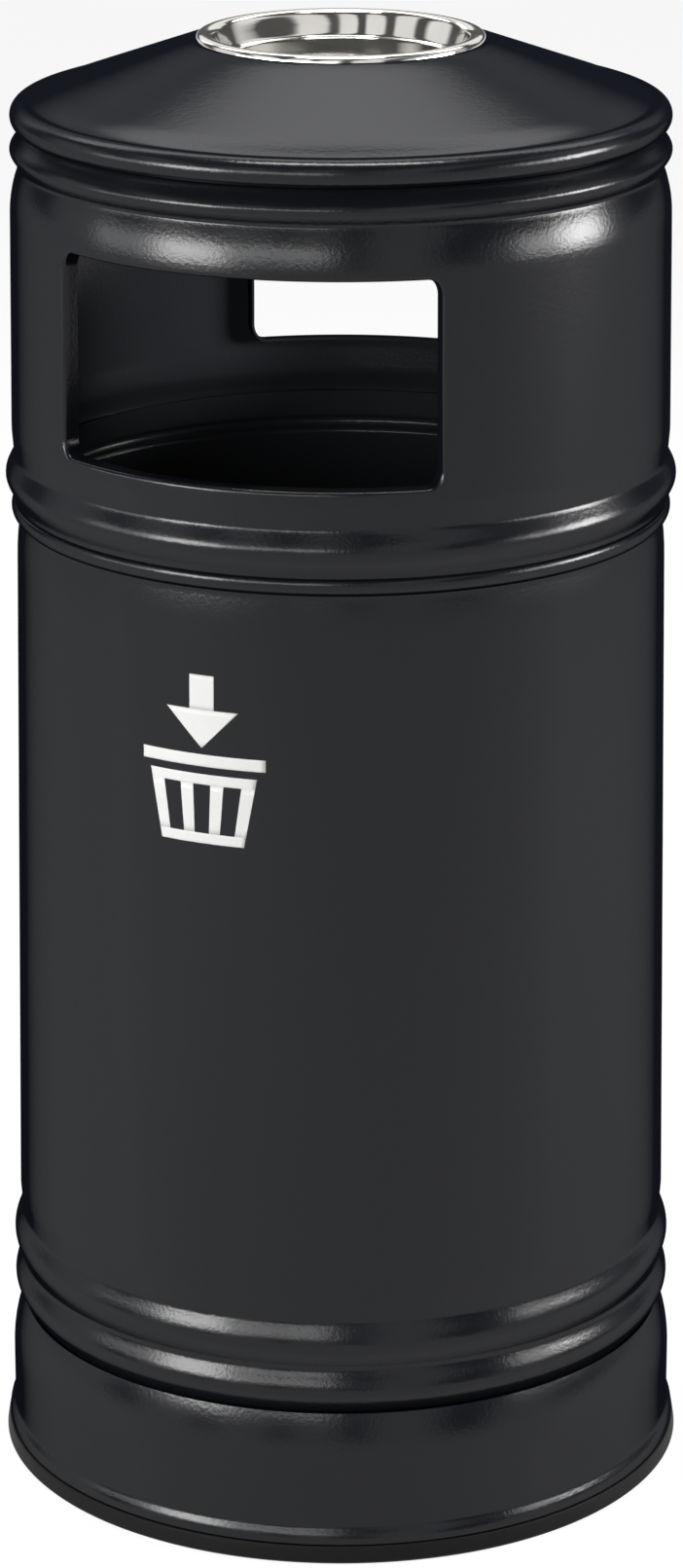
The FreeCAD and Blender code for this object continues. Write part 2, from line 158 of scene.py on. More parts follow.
# Hot-dip galvanised sheet: dull grey zinc with leafy crystal spangles of slightly different grey
def galvanisedSheet():
    material, tree, coords = newMaterial("galvanisedSheet")
    warp = addNode(tree, "ShaderNodeTexNoise", {"Scale": perMetre(12.0), "Detail": 2.0},
                   {"Vector": coords}).outputs["Color"]
    bent = addNode(tree, "ShaderNodeMix", {"data_type": "VECTOR", shareIn: 0.01},
                   {4: coords, 5: warp}).outputs[1]  # 4 and 5 take vectors
    spangle = addNode(tree, "ShaderNodeTexVoronoi", {"Scale": perMetre(11.0)}, {"Vector": bent}).outputs
    leaf = addNode(tree, "ShaderNodeSeparateColor", links={"Color": spangle["Color"]}).outputs
    tone = addNode(tree, "ShaderNodeMix",
                   {"data_type": "RGBA", firstIn: linear("#8d9295"), secondIn: linear("#b3b8ba")},
                   {shareIn: leaf["Red"]}).outputs[mixedOut]
    gloss = addNode(tree, "ShaderNodeMapRange", {"To Min": 0.36, "To Max": 0.58},
                    {"Value": leaf["Green"]}).outputs["Result"]
    bump = addNode(tree, "ShaderNodeBump", {"Strength": 0.15, "Distance": 0.2 * mm},
                   {"Height": spangle["Distance"]}).outputs["Normal"]
    finishMaterial(tree, {"Metallic": 0.95}, {"Base Color": tone, "Roughness": gloss, "Normal": bump})
    return material


# Drawn steel wire, zinc plated: bright, with dull and faintly uneven patches
def zincWire():
    material, tree, coords = newMaterial("zincWire")
    dull = addNode(tree, "ShaderNodeTexNoise", {"Scale": perMetre(6.0), "Detail": 4.0},
                   {"Vector": coords}).outputs["Fac"]
    tone = addNode(tree, "ShaderNodeMix",
                   {"data_type": "RGBA", firstIn: linear("#a9adb0"), secondIn: linear("#c4c8ca")},
                   {shareIn: dull}).outputs[mixedOut]
    gloss = addNode(tree, "ShaderNodeMapRange", {"To Min": 0.22, "To Max": 0.42},
                    {"Value": dull}).outputs["Result"]
    bump = addNode(tree, "ShaderNodeBump", {"Strength": 0.1, "Distance": 0.1 * mm},
                   {"Height": dull}).outputs["Normal"]
    finishMaterial(tree, {"Metallic": 1.0}, {"Base Color": tone, "Roughness": gloss, "Normal": bump})
    return material


# Aluminium rivet: pale, softly shiny, scuffed by the setting tool
def rivetAluminium():
    material, tree, coords = newMaterial("rivetAluminium")
    scuff = addNode(tree, "ShaderNodeTexNoise", {"Scale": perMetre(2.0), "Detail": 4.0},
                    {"Vector": coords}).outputs["Fac"]
    tone = addNode(tree, "ShaderNodeMix",
                   {"data_type": "RGBA", firstIn: linear("#a3a5a6"), secondIn: linear("#c3c5c6")},
                   {shareIn: scuff}).outputs[mixedOut]
    gloss = addNode(tree, "ShaderNodeMapRange", {"To Min": 0.28, "To Max": 0.5},
                    {"Value": scuff}).outputs["Result"]
    finishMaterial(tree, {"Metallic": 1.0}, {"Base Color": tone, "Roughness": gloss})
    return material


# Moulded black rubber: matt and near black, with a dusty bloom
def footRubber():
    material, tree, coords = newMaterial("footRubber")
    bloom = addNode(tree, "ShaderNodeTexNoise", {"Scale": perMetre(14.0), "Detail": 4.0},
                    {"Vector": coords}).outputs["Fac"]
    pore = addNode(tree, "ShaderNodeTexNoise", {"Scale": perMetre(1.2), "Detail": 1.0},
                   {"Vector": coords}).outputs["Fac"]
    tone = addNode(tree, "ShaderNodeMix",
                   {"data_type": "RGBA", firstIn: linear("#0b0b0c"), secondIn: linear("#161616")},
                   {shareIn: bloom}).outputs[mixedOut]
    gloss = addNode(tree, "ShaderNodeMapRange", {"To Min": 0.5, "To Max": 0.68},
                    {"Value": bloom}).outputs["Result"]
    bump = addNode(tree, "ShaderNodeBump", {"Strength": 0.3, "Distance": 0.1 * mm},
                   {"Height": pore}).outputs["Normal"]
    finishMaterial(tree, {"IOR": 1.5, "Specular IOR Level": 0.12}, {
        "Base Color": tone, "Roughness": gloss, "Normal": bump})
    return material


# Calendered vinyl film, cut and stuck on: even white with a soft sheen
def whiteVinyl():
    material, tree, coords = newMaterial("whiteVinyl")
    ripple = addNode(tree, "ShaderNodeTexNoise", {"Scale": perMetre(9.0), "Detail": 2.0},
                     {"Vector": coords}).outputs["Fac"]
    tone = addNode(tree, "ShaderNodeMix",
                   {"data_type": "RGBA", firstIn: linear("#dededc"), secondIn: linear("#d6d6d4")},
                   {shareIn: ripple}).outputs[mixedOut]
    gloss = addNode(tree, "ShaderNodeMapRange", {"To Min": 0.4, "To Max": 0.5},
                    {"Value": ripple}).outputs["Result"]
    finishMaterial(tree, {"IOR": 1.5, "Specular IOR Level": 0.25}, {"Base Color": tone, "Roughness": gloss})
    return material


coat = blackPowderCoat()
stainless = buffedStainless()
galvanised = galvanisedSheet()
wire = zincWire()
rivetMetal = rivetAluminium()
rubber = footRubber()
vinyl = whiteVinyl()
print("materials ready:", len(bpy.data.materials))


# Tools for surfaces


def gridFaces(rows, columns, closeRows=False, closeColumns=False):  # quads between neighbours of a grid
    row = np.arange(rows if closeRows else rows - 1)[:, None]
    column = np.arange(columns if closeColumns else columns - 1)[None, :]
    nextRow, nextColumn = (row + 1) % rows, (column + 1) % columns
    quads = [row * columns + column, row * columns + nextColumn,
             nextRow * columns + nextColumn, nextRow * columns + column]
    return np.stack(np.broadcast_arrays(*quads), axis=-1).reshape(-1, 4)


# Joins grids of points into one mesh: doubles merged, faces outwards, creases sharp only past an angle
def makePiece(name, grids, body, material, nodes=(), crease=38, mergeGap=0.01):
    points, faces, start = [], [], 0
    for surface, closeRows, closeColumns in grids:
        rows, columns = surface.shape[:2]
        points.append(surface.reshape(-1, 3) * mm)
        faces.append(gridFaces(rows, columns, closeRows, closeColumns) + start)
        start += rows * columns
    mesh = bpy.data.meshes.new(name)
    mesh.from_pydata(np.concatenate(points).tolist(), [], np.concatenate(faces).tolist())
    work = bmesh.new()
    work.from_mesh(mesh)
    bmesh.ops.remove_doubles(work, verts=work.verts, dist=mergeGap * mm)
    bmesh.ops.recalc_face_normals(work, faces=work.faces)
    work.to_mesh(mesh)
    work.free()
    mesh.shade_smooth()
    mesh.set_sharp_from_angle(angle=math.radians(crease))
    mesh.materials.append(material)
    piece = bpy.data.objects.new(name, mesh)
    bpy.context.scene.collection.objects.link(piece)
    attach(piece, body)
    if nodes:
        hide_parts(*nodes)
    print(name, len(mesh.polygons), "faces")
    return piece


# Outline of a sheet: (radius, height) corners joined by straight runs. A third value makes the run before
# that corner a circular arc that stands out by the value. With a fourth it is a rolled bead with hollow
# feet, which stands out by rise * sin(pi * share) ** power. The line is then spaced evenly and its creases
# are rounded.
def outline(corners, soften, step=0.35, fewest=3):
    line = [np.array([corners[0][:2]], float)]
    for before, after in zip(corners, corners[1:]):
        start, end = np.array(before[:2], float), np.array(after[:2], float)
        run = end - start
        length = np.hypot(*run)
        share = np.linspace(0, 1, max(fewest, math.ceil(length / step)))[1:, None]
        along, out = run / length, np.array([run[1], -run[0]]) / length
        if len(after) == 2:
            line.append(start + run * share)
        elif len(after) == 4:
            line.append(start + run * share + out * after[2] * np.sin(math.pi * share) ** after[3])
        else:
            rise = after[2]
            bow = (length ** 2 / 4 + rise ** 2) / (2 * rise)  # radius of the arc
            swing = (2 * share - 1) * math.copysign(math.acos(1 - rise / bow), bow)
            sagged = out * (bow * np.cos(swing) - bow + rise)
            line.append(start + run / 2 + along * bow * np.sin(swing) + sagged)
    return softened(np.concatenate(line), soften, step)


# Evenly spaced points along a line, each the mean of its neighbours; the ends stay
def softened(line, soften, step, passes=2, fewest=8):
    far = np.concatenate([[0], np.cumsum(np.hypot(*np.diff(line, axis=0).T))])
    even = np.linspace(0, far[-1], max(fewest, round(far[-1] / step)))
    line = np.stack([np.interp(even, far, line[:, i]) for i in (0, 1)], axis=1)
    width = max(1, round(soften / step))
    for _ in range(passes):
        padded = np.concatenate([2 * line[0] - line[width:0:-1], line, 2 * line[-1] - line[-2:-width - 2:-1]])
        total = np.cumsum(np.concatenate([np.zeros((1, 2)), padded]), axis=0)
        line = (total[2 * width + 1:] - total[:-2 * width - 1]) / (2 * width + 1)
    return line


def normals(line):  # unit normals on the outer side of a line that runs upwards
    slope = np.gradient(line, axis=0)
    return np.stack([slope[:, 1], -slope[:, 0]], axis=1) / np.hypot(*slope.T)[:, None]


def innerSide(line, thickness, nearest=0.97):  # the line moved inwards, without the loops at tight corners
    inner = line - normals(line) * thickness
    gap = np.sqrt(((inner[:, None] - line[None]) ** 2).sum(axis=2)).min(axis=1)
    return inner[gap > nearest * thickness]


# Fewer points where the line is straight, more where it turns
def thinned(line, longest=12.0, sharpest=7.0, fewest=3):
    step = np.diff(line, axis=0)
    angle = np.unwrap(np.arctan2(step[:, 1], step[:, 0]))
    bend = np.abs(np.concatenate([[0], np.diff(angle)]))
    need = np.concatenate([[0], np.cumsum(np.hypot(*step.T) / longest + bend / math.radians(sharpest))])
    wanted = np.linspace(0, need[-1], max(fewest, math.ceil(need[-1]) + 1))
    return np.stack([np.interp(wanted, need, line[:, i]) for i in (0, 1)], axis=1)


# A section turned about the axis: x = radius sin angle, y = -radius cos angle, z = height
def spun(section, angles):
    radius, height = section[:, :1], section[:, 1:]
    return np.stack([radius * np.sin(angles), -radius * np.cos(angles), height + 0 * angles], axis=-1)


def evenAngles(count):
    return np.linspace(0, turn, count, endpoint=False)


# A sheet of even thickness: its outline, the same line moved inwards, the two joined at the ends, all spun
def spunSheet(corners, piece):
    outer = outline(corners, piece["soften"])
    inner = innerSide(outer, piece["sheet"])
    loop = np.concatenate([thinned(outer), thinned(inner)[::-1]])
    return spun(loop, evenAngles(piece["count"])), True, True


# A dish: the outline is its underside and starts on the axis; the upper side is the same line moved up and in
def spunDish(corners, sheet, soften, count, longest=12.0, sharpest=7.0):
    under = outline(corners, soften)
    upper = innerSide(under, sheet)
    loop = np.concatenate([thinned(under, longest, sharpest), thinned(upper, longest, sharpest)[::-1]])
    loop[[0, -1], 0] = 0
    return spun(loop, evenAngles(count)), False, True


def low(node):  # lowest height of a CAD node, in millimetres
    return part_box(node)[0].z / mm


def high(node):  # its greatest height
    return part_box(node)[1].z / mm


def reach(node):  # its greatest distance to the side
    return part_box(node)[1].x / mm


# Skirt, foot ring and body

skirt = dict(flange=170.0, hem=203.3, wall=200.1, curl=195.2, lip=192.9, hemStraight=3.5, hemHeight=10.0,
             hemRise=0.6, shoulderHeight=33.0, shoulderRise=1.22, curlHeight=5.0, curlRise=0.1, lipLift=0.6,
             sheet=1.5, soften=1.5, count=256)
floorLevel, lipLevel = low("base_skirt"), high("base_skirt")
skirtCorners = [
    (skirt["flange"], floorLevel), (skirt["hem"], floorLevel),
    (skirt["hem"], floorLevel + skirt["hemStraight"]),
    (skirt["wall"], floorLevel + skirt["hemHeight"], skirt["hemRise"]),
    (skirt["wall"], lipLevel - skirt["shoulderHeight"]),
    (skirt["curl"], lipLevel - skirt["curlHeight"], skirt["shoulderRise"]),
    (skirt["lip"], lipLevel + skirt["lipLift"], skirt["curlRise"]),
]
makePiece("skirtShell", [spunSheet(skirtCorners, skirt)], "body", coat, ["base_skirt"])

# The foot ring's outline starts and ends on its inner side, a little under the top
foot = dict(width=16.0, chamfer=2.0, lip=0.5, joinDrop=1.0, soften=0.35, count=256)
footReach, footTop = reach("foot_ring"), high("foot_ring")
footInside = skirt["hem"] - foot["width"]
footCorners = [
    (footInside, footTop - foot["joinDrop"]), (footInside, 0), (footReach - foot["chamfer"], 0),
    (footReach, foot["chamfer"]), (skirt["hem"] + foot["lip"], footTop), (footInside, footTop),
    (footInside, footTop - foot["joinDrop"]),
]
footLoop = thinned(outline(footCorners, foot["soften"]))[:-1]
footGrid = spun(footLoop, evenAngles(foot["count"])), True, True
makePiece("footRing", [footGrid], "body", rubber, ["foot_ring"])

body = dict(flange=170.0, foot=188.8, footCrease=191.6, crease=193.1, wall=194.4, top=189.0, topCrease=186.9,
            ledge=190.5, neck=185.4, curl=182.9, groove=1.2, beadHeights=(27.4, 29.6), beadRises=(6.0, 5.2),
            hollow=1.4, creaseRun=14.0, topRun=26.0, topHollow=0.56, topBeadHeight=10.2, topBeadRise=3.0,
            seat=589.6, sheet=1.5, soften=0.9, count=256)
beadFoot = lipLevel + body["groove"]
beadMiddle, beadTop = beadFoot + np.cumsum(body["beadHeights"])
beadCrease = body["seat"] - body["topBeadHeight"]
wallFoot, wallTop = beadTop + body["creaseRun"], beadCrease - body["topRun"]
bodyLow, neckTop = low("body_shell"), high("body_shell")
bodyCorners = [
    (body["flange"], bodyLow), (body["foot"], bodyLow), (body["foot"], lipLevel),
    (body["footCrease"], beadFoot),
    (body["crease"], beadMiddle, body["beadRises"][0], body["hollow"]),
    (body["crease"], beadTop, body["beadRises"][1], body["hollow"]),
    (body["wall"], wallFoot), (body["top"], wallTop), (body["topCrease"], beadCrease, body["topHollow"]),
    (body["ledge"], body["seat"], body["topBeadRise"]),
    (body["neck"], body["seat"]), (body["neck"], neckTop), (body["curl"], neckTop),
]
makePiece("bodyShell", [spunSheet(bodyCorners, body)], "body", coat, ["body_shell"])


# Pictogram: an arrow over a plain bin with slots, cut from white film

pictogram = dict(angle=-5.4, middle=481.0, shaft=7.5, arrowTop=49.0, barb=22.0, barbTop=29.0, tip=0.3,
                 tipLow=7.0, lid=38.0, lidTop=3.0, lidLow=-4.0, rim=33.0, rimTop=-8.5, sole=25.5,
                 soleLow=-49.0, band=6.0, bars=4, bar=0.125, lift=0.22, film=0.16)


# A patch of film: points (across, up) in millimetres are wrapped round the tapered wall, just proud of it
def filmPatch(across, up):
    height = pictogram["middle"] + up
    share = (height - wallFoot) / (wallTop - wallFoot)
    radius = body["wall"] + (body["top"] - body["wall"]) * share + pictogram["lift"]
    angle = math.radians(pictogram["angle"]) + across / radius
    return np.stack([radius * np.sin(angle), -radius * np.cos(angle), height], axis=-1), False, False


# Four-sided patch between two level edges: u runs along them and v from the lower to the upper
def filmQuad(lower, upper, lowUp, highUp, rows=8, columns=24):
    v, u = np.meshgrid(np.linspace(0, 1, rows), np.linspace(0, 1, columns), indexing="ij")
    left = lower[0] + (upper[0] - lower[0]) * v
    right = lower[1] + (upper[1] - lower[1]) * v
    return filmPatch(left + (right - left) * u, lowUp + (highUp - lowUp) * v)


def filmBand(lowHalf, highHalf, lowUp, highUp):  # a patch that is the same on both sides, by its half widths
    return filmQuad((-lowHalf, lowHalf), (-highHalf, highHalf), lowUp, highUp)


def binWidth(up):  # half width of the drawn bin at a height
    share = (up - pictogram["soleLow"]) / (pictogram["rimTop"] - pictogram["soleLow"])
    return pictogram["sole"] + (pictogram["rim"] - pictogram["sole"]) * share


def binBand(left, right, lowUp, highUp):  # part of the drawn bin, its sides given as shares of the half width
    narrow, wide = binWidth(lowUp), binWidth(highUp)
    return filmQuad((left * narrow, right * narrow), (left * wide, right * wide), lowUp, highUp)


def signPatches():
    slotLow, slotHigh = pictogram["soleLow"] + pictogram["band"], pictogram["rimTop"] - pictogram["band"]
    bar = pictogram["bar"]
    arrow = [filmBand(pictogram["shaft"], pictogram["shaft"], pictogram["barbTop"], pictogram["arrowTop"]),
             filmBand(pictogram["tip"], pictogram["barb"], pictogram["tipLow"], pictogram["barbTop"])]
    lid = filmBand(pictogram["lid"], pictogram["lid"], pictogram["lidLow"], pictogram["lidTop"])
    rim = binBand(-1, 1, slotHigh, pictogram["rimTop"])
    sole = binBand(-1, 1, pictogram["soleLow"], slotLow)
    middles = np.linspace(-1 + bar, 1 - bar, pictogram["bars"])
    return arrow + [lid, rim, sole] + [binBand(at - bar, at + bar, slotLow, slotHigh) for at in middles]


signFilm = makePiece("binSign", signPatches(), "body", vinyl)
thick = signFilm.modifiers.new("film", "SOLIDIFY")
thick.thickness, thick.offset = pictogram["film"] * mm, -1


# Hood wall with its two apertures

hood = dict(lip=189.2, foot=191.2, top=189.6, groove=184.0, upperEnd=183.3, fillet=182.4, seam=178.6,
            lap=15.0, lipHeight=2.0, beadHeight=25.9, beadRise=5.4, dip=1.3, creaseRun=14.0,
            shoulderHeight=26.6, shoulderRise=1.3, upperBead=19.7, upperRise=5.74, upperDrop=1.0,
            seamStep=1.2, hollow=1.4, sheet=1.5, soften=0.9)
aperture = dict(halfAngle=35.75, sill=49.7, height=116.4, corner=10.0, depth=10.0, edge=2.4, head=2.5,
                margin=4.6, under=8.4, over=6.3, climbUnder=12.0, climbOver=8.0, cutGap=0.2,
                sideSteps=34, lineSteps=60, cornerSteps=12, wallSteps=44, bandSteps=7, edgeSteps=6,
                flangeSteps=3)
seatLevel = low("hood_wall")
hoodBeadTop = seatLevel + hood["lipHeight"] + hood["beadHeight"]
holeLow = seatLevel + aperture["sill"]
holeHigh = holeLow + aperture["height"]
capFoot = holeHigh + aperture["head"]
capTop = capFoot + hood["shoulderHeight"]
upperTop = capTop + hood["upperBead"]
seam = upperTop + hood["seamStep"]
hoodDraft = (hood["foot"] - hood["top"]) / (capFoot - hoodBeadTop)
hoodOuter = outline([
    (hood["lip"], seatLevel), (hood["lip"], seatLevel + hood["lipHeight"]),
    (hood["foot"] - hood["dip"], hoodBeadTop, hood["beadRise"], hood["hollow"]),
    (hood["foot"] - hoodDraft * hood["creaseRun"], hoodBeadTop + hood["creaseRun"]), (hood["top"], capFoot),
    (hood["groove"], capTop, hood["shoulderRise"]),
    (hood["upperEnd"], upperTop - hood["upperDrop"], hood["upperRise"], hood["hollow"]),
    (hood["fillet"], upperTop), (hood["fillet"], seam),
    (hood["seam"], seam), (hood["seam"] - hood["lap"], seam),
], hood["soften"])
hoodInner = innerSide(hoodOuter, hood["sheet"])
bandLow, bandHigh = holeLow - aperture["under"], holeHigh + aperture["over"]


def wallRadius(line, height):  # radius of the wall at a height, on the stretch where the line only climbs
    above = line[:, 1] > bandLow - aperture["climbUnder"]
    below = line[:, 1] < bandHigh + aperture["climbOver"]
    climbing = line[above & below]
    return np.interp(height, climbing[:, 1], climbing[:, 0])


# Points round one aperture on a cylinder-like wall. The sides lie on planes through the axis and the corners
# are round, so a point is x = d tan(half angle) - inset at the distance d from the axis, measured to the
# front, and d follows from x*x + d*d = radius*radius. The loop climbs one side, crosses, comes down the
# other and returns.
def holePoints(radiusAt):
    slope, corner = math.tan(math.radians(aperture["halfAngle"])), aperture["corner"]
    up = np.linspace(0, 1, aperture["sideSteps"] + 1)[1:-1]
    swing = np.linspace(0, math.pi / 2, aperture["cornerSteps"] + 1)
    flat = np.linspace(1, -1, aperture["lineSteps"] + 1)[1:-1]
    side = holeLow + corner + up * (aperture["height"] - 2 * corner)
    inset = corner * (1 - np.cos(swing))
    rise = corner * (1 - np.sin(swing))
    height = np.concatenate([side, holeHigh - rise, holeHigh + 0 * flat, (holeHigh - rise)[::-1],
                             side[::-1], holeLow + rise, holeLow + 0 * flat, (holeLow + rise)[::-1]])
    factor = np.concatenate([np.ones(len(up) + len(swing)), flat, -np.ones(2 * len(swing) + len(up)),
                             flat[::-1], np.ones(len(swing))])
    pulled = np.concatenate([0 * up, inset, corner + 0 * flat, inset[::-1],
                             0 * up, inset, corner + 0 * flat, inset[::-1]])
    radius = radiusAt(height)
    square = 1 + (factor * slope) ** 2
    half = factor ** 2 * slope * pulled
    far = (half + np.sqrt(half ** 2 - square * ((factor * pulled) ** 2 - radius ** 2))) / square
    return np.stack([factor * (far * slope - pulled), -far, height], axis=1)


# Where each point of that loop lands on the rectangle round the aperture, as (angle, height)
def frameLoop(angle):
    swing = np.linspace(0, 1, aperture["cornerSteps"] // 2 + 1)
    half = math.radians(aperture["halfAngle"]) + aperture["margin"] / hood["foot"]
    corner, side = aperture["corner"], np.linspace(0, 1, aperture["sideSteps"] + 1)[1:-1]
    climb = holeLow + corner + side * (aperture["height"] - 2 * corner)
    first = aperture["sideSteps"] + aperture["cornerSteps"]
    flat = angle[first:first + aperture["lineSteps"] - 1]
    edge = angle[first - 1]
    upEdge = holeHigh - corner + swing * (bandHigh - holeHigh + corner)
    downEdge = holeLow + corner - swing * (holeLow + corner - bandLow)
    inward = half + swing[1:] * (edge - half)
    angles = [half + 0 * side, half + 0 * swing, inward, flat, -inward[::-1], -half + 0 * swing,
              -half + 0 * side, -half + 0 * swing, -inward, flat[::-1], inward[::-1], half + 0 * swing]
    level = 0 * inward
    heights = [climb, upEdge, bandHigh + level, bandHigh + 0 * flat, bandHigh + level, upEdge[::-1],
               climb[::-1], downEdge, bandLow + level, bandLow + 0 * flat, bandLow + level, downEdge[::-1]]
    return np.concatenate(angles), np.concatenate(heights)


def onWall(line, angle, height):
    radius = wallRadius(line, height)
    return np.stack([radius * np.sin(angle), -radius * np.cos(angle), height], axis=-1)


# Band of wall between a hole loop and the rectangle round it: angle and height blend from one to the other
def wallBand(line, loop, rimAngle, rimHeight):
    share = np.linspace(0, 1, aperture["bandSteps"] + 1)[:, None]
    angle = np.arctan2(loop[:, 0], -loop[:, 1])
    height = loop[:, 2] + share * (rimHeight - loop[:, 2])
    return onWall(line, angle + share * (rimAngle - angle), height), False, True


def halfTurned(grid):  # the same surface at the back
    surface, closeRows, closeColumns = grid
    return surface * np.array([-1, -1, 1]), closeRows, closeColumns


# Turned-in rim of an aperture: a quarter round of the edge radius from the wall to the flange, the flange,
# and back along its other side. Returns the rim and the loops where it meets the outer and inner side of
# the wall.
def apertureRim(hole):
    flangeEnd = holePoints(lambda height: wallRadius(hoodOuter, height) - aperture["depth"])
    into = flangeEnd - hole
    into /= np.linalg.norm(into, axis=1)[:, None]
    along = np.roll(hole, -1, axis=0) - np.roll(hole, 1, axis=0)
    away = np.cross(into, along)  # across the wall, away from the opening
    away /= np.linalg.norm(away, axis=1)[:, None]
    away *= np.sign((away * (hole - hole.mean(axis=0))).sum(axis=1))[:, None]
    edge, sheet = aperture["edge"], hood["sheet"]

    def toWall(points, line):
        return onWall(line, np.arctan2(points[:, 0], -points[:, 1]), points[:, 2])

    outerLoop = toWall(hole + away * edge, hoodOuter)
    innerLoop = toWall(hole + (away + into) * sheet, hoodInner)
    bow = np.linspace(0, math.pi / 2, aperture["edgeSteps"] + 1)[1:, None, None]
    rounding = hole + (away + into) * edge - edge * (into * np.cos(bow) + away * np.sin(bow))
    share = np.linspace(0, 1, aperture["flangeSteps"] + 1)[:, None, None]
    flange = rounding[-1] + share[1:] * (flangeEnd - rounding[-1])
    back = flangeEnd + away * sheet
    inside = back + share[:-1] * (innerLoop - back)
    rim = np.concatenate([outerLoop[None], rounding, flange, inside, innerLoop[None]]), False, True
    return rim, outerLoop, innerLoop


def cutAt(line, level, below):  # the part of a line below or above a level, ending exactly on it
    end = np.array([[wallRadius(line, level), level]])
    if below:
        return np.concatenate([thinned(line[line[:, 1] < level - aperture["cutGap"]]), end])
    return np.concatenate([end, thinned(line[line[:, 1] > level + aperture["cutGap"]])])


# The wall: rims and bands round the two apertures, plain wall between them, spun parts below and above
def hoodGrids():
    hole = holePoints(lambda height: wallRadius(hoodOuter, height))
    rim, outerLoop, innerLoop = apertureRim(hole)
    rimAngle, rimHeight = frameLoop(np.arctan2(hole[:, 0], -hole[:, 1]))
    bands = [wallBand(line, loop, rimAngle, rimHeight)
             for line, loop in ((hoodOuter, outerLoop), (hoodInner, innerLoop))]

    half = rimAngle.max()
    top = np.sort(rimAngle[np.isclose(rimHeight, bandHigh)])
    between = np.linspace(half, math.pi - half, aperture["wallSteps"] + 1)
    heights = np.sort(rimHeight[np.isclose(rimAngle, half)])[:, None]
    plain = [(onWall(line, between + 0 * heights, heights + 0 * between), False, False)
             for line in (hoodOuter, hoodInner)]
    front = [rim] + bands + plain

    angles = np.concatenate([top, between[1:-1], top + math.pi, between[1:-1] + math.pi])
    lower = np.concatenate([cutAt(hoodInner, bandLow, True)[::-1], cutAt(hoodOuter, bandLow, True)])
    upper = np.concatenate([cutAt(hoodOuter, bandHigh, False), cutAt(hoodInner, bandHigh, False)[::-1]])
    ends = [(spun(section, angles), False, True) for section in (lower, upper)]
    return front + [halfTurned(grid) for grid in front] + ends


makePiece("hoodWall", hoodGrids(), "hood", coat, ["hood_wall"])


# Cone with its rolled rim

cone = dict(lap=163.6, seam=178.6, rollTop=177.7, rollHeight=15.4, rollRise=10.9, bandFoot=166.2,
            bandDrop=5.8, land=85.0, collar=76.7, collarDepth=9.0, sheet=1.5, soften=1.7, count=256)
landLevel = high("hood_cone")
rollTop = seam + cone["rollHeight"]
coneCorners = [
    (cone["lap"], seam), (cone["seam"], seam), (cone["rollTop"], rollTop, cone["rollRise"]),
    (cone["bandFoot"], rollTop + cone["bandDrop"]), (cone["land"], landLevel),
    (cone["collar"], landLevel), (cone["collar"], landLevel - cone["collarDepth"]),
]
makePiece("hoodCone", [spunSheet(coneCorners, cone)], "hood", coat, ["hood_cone"])


# Ash bowl

bowl = dict(wallFoot=69.5, wallTop=74.5, rim=81.5, sheet=1.0, soften=1.6, count=224,
            longest=8.0, sharpest=5.0)
bowlLow, rimUnder = low("ash_bowl"), high("ash_bowl") - bowl["sheet"]
bowlCorners = [
    (0, bowlLow), (bowl["wallFoot"], bowlLow), (bowl["wallTop"], rimUnder), (bowl["rim"], rimUnder),
    (bowl["rim"], landLevel),
]
bowlGrid = spunDish(bowlCorners, bowl["sheet"], bowl["soften"], bowl["count"],
                    bowl["longest"], bowl["sharpest"])
makePiece("ashBowl", [bowlGrid], "ash_tray", stainless, ["ash_bowl"])


# Liner, its raised floor and its bail

liner = dict(foot=152.9, top=161.9, footWidth=10.0, rim=166.9, roll=5.0, sheet=1.0, soften=1.4, count=192,
             floorRise=12.0, floorEdge=148.3, floorSoften=1.8)
linerLow, linerRim = low("liner_shell"), high("liner_shell") - liner["sheet"]
linerCorners = [
    (liner["foot"] - liner["footWidth"], linerLow), (liner["foot"], linerLow), (liner["top"], linerRim),
    (liner["rim"], linerRim), (liner["rim"], linerRim - liner["roll"]),
]
linerGrid = spunSheet(linerCorners, liner)
makePiece("linerShell", [linerGrid], "liner", galvanised, ["liner_shell"])

floorCorners = [
    (0, linerLow + liner["floorRise"]), (liner["floorEdge"], linerLow + liner["floorRise"]),
    (liner["floorEdge"], linerLow + liner["sheet"]),
]
floorGrid = spunDish(floorCorners, liner["sheet"], liner["floorSoften"], liner["count"])
makePiece("linerFloor", [floorGrid], "liner", galvanised, ["liner_base"])

# Circles at the tips, from the point on: sizes are shares of the radius, places are shares of the rounding
bail = dict(radius=2.5, bend=5.0, tip=5.0, earSheet=2.5, earGap=1.0, steps=96, bendSteps=14, around=20,
            tipRound=0.9, tipSizes=(0.0, 0.62, 0.92), tipPlaces=(0.0, 0.15, 0.5))


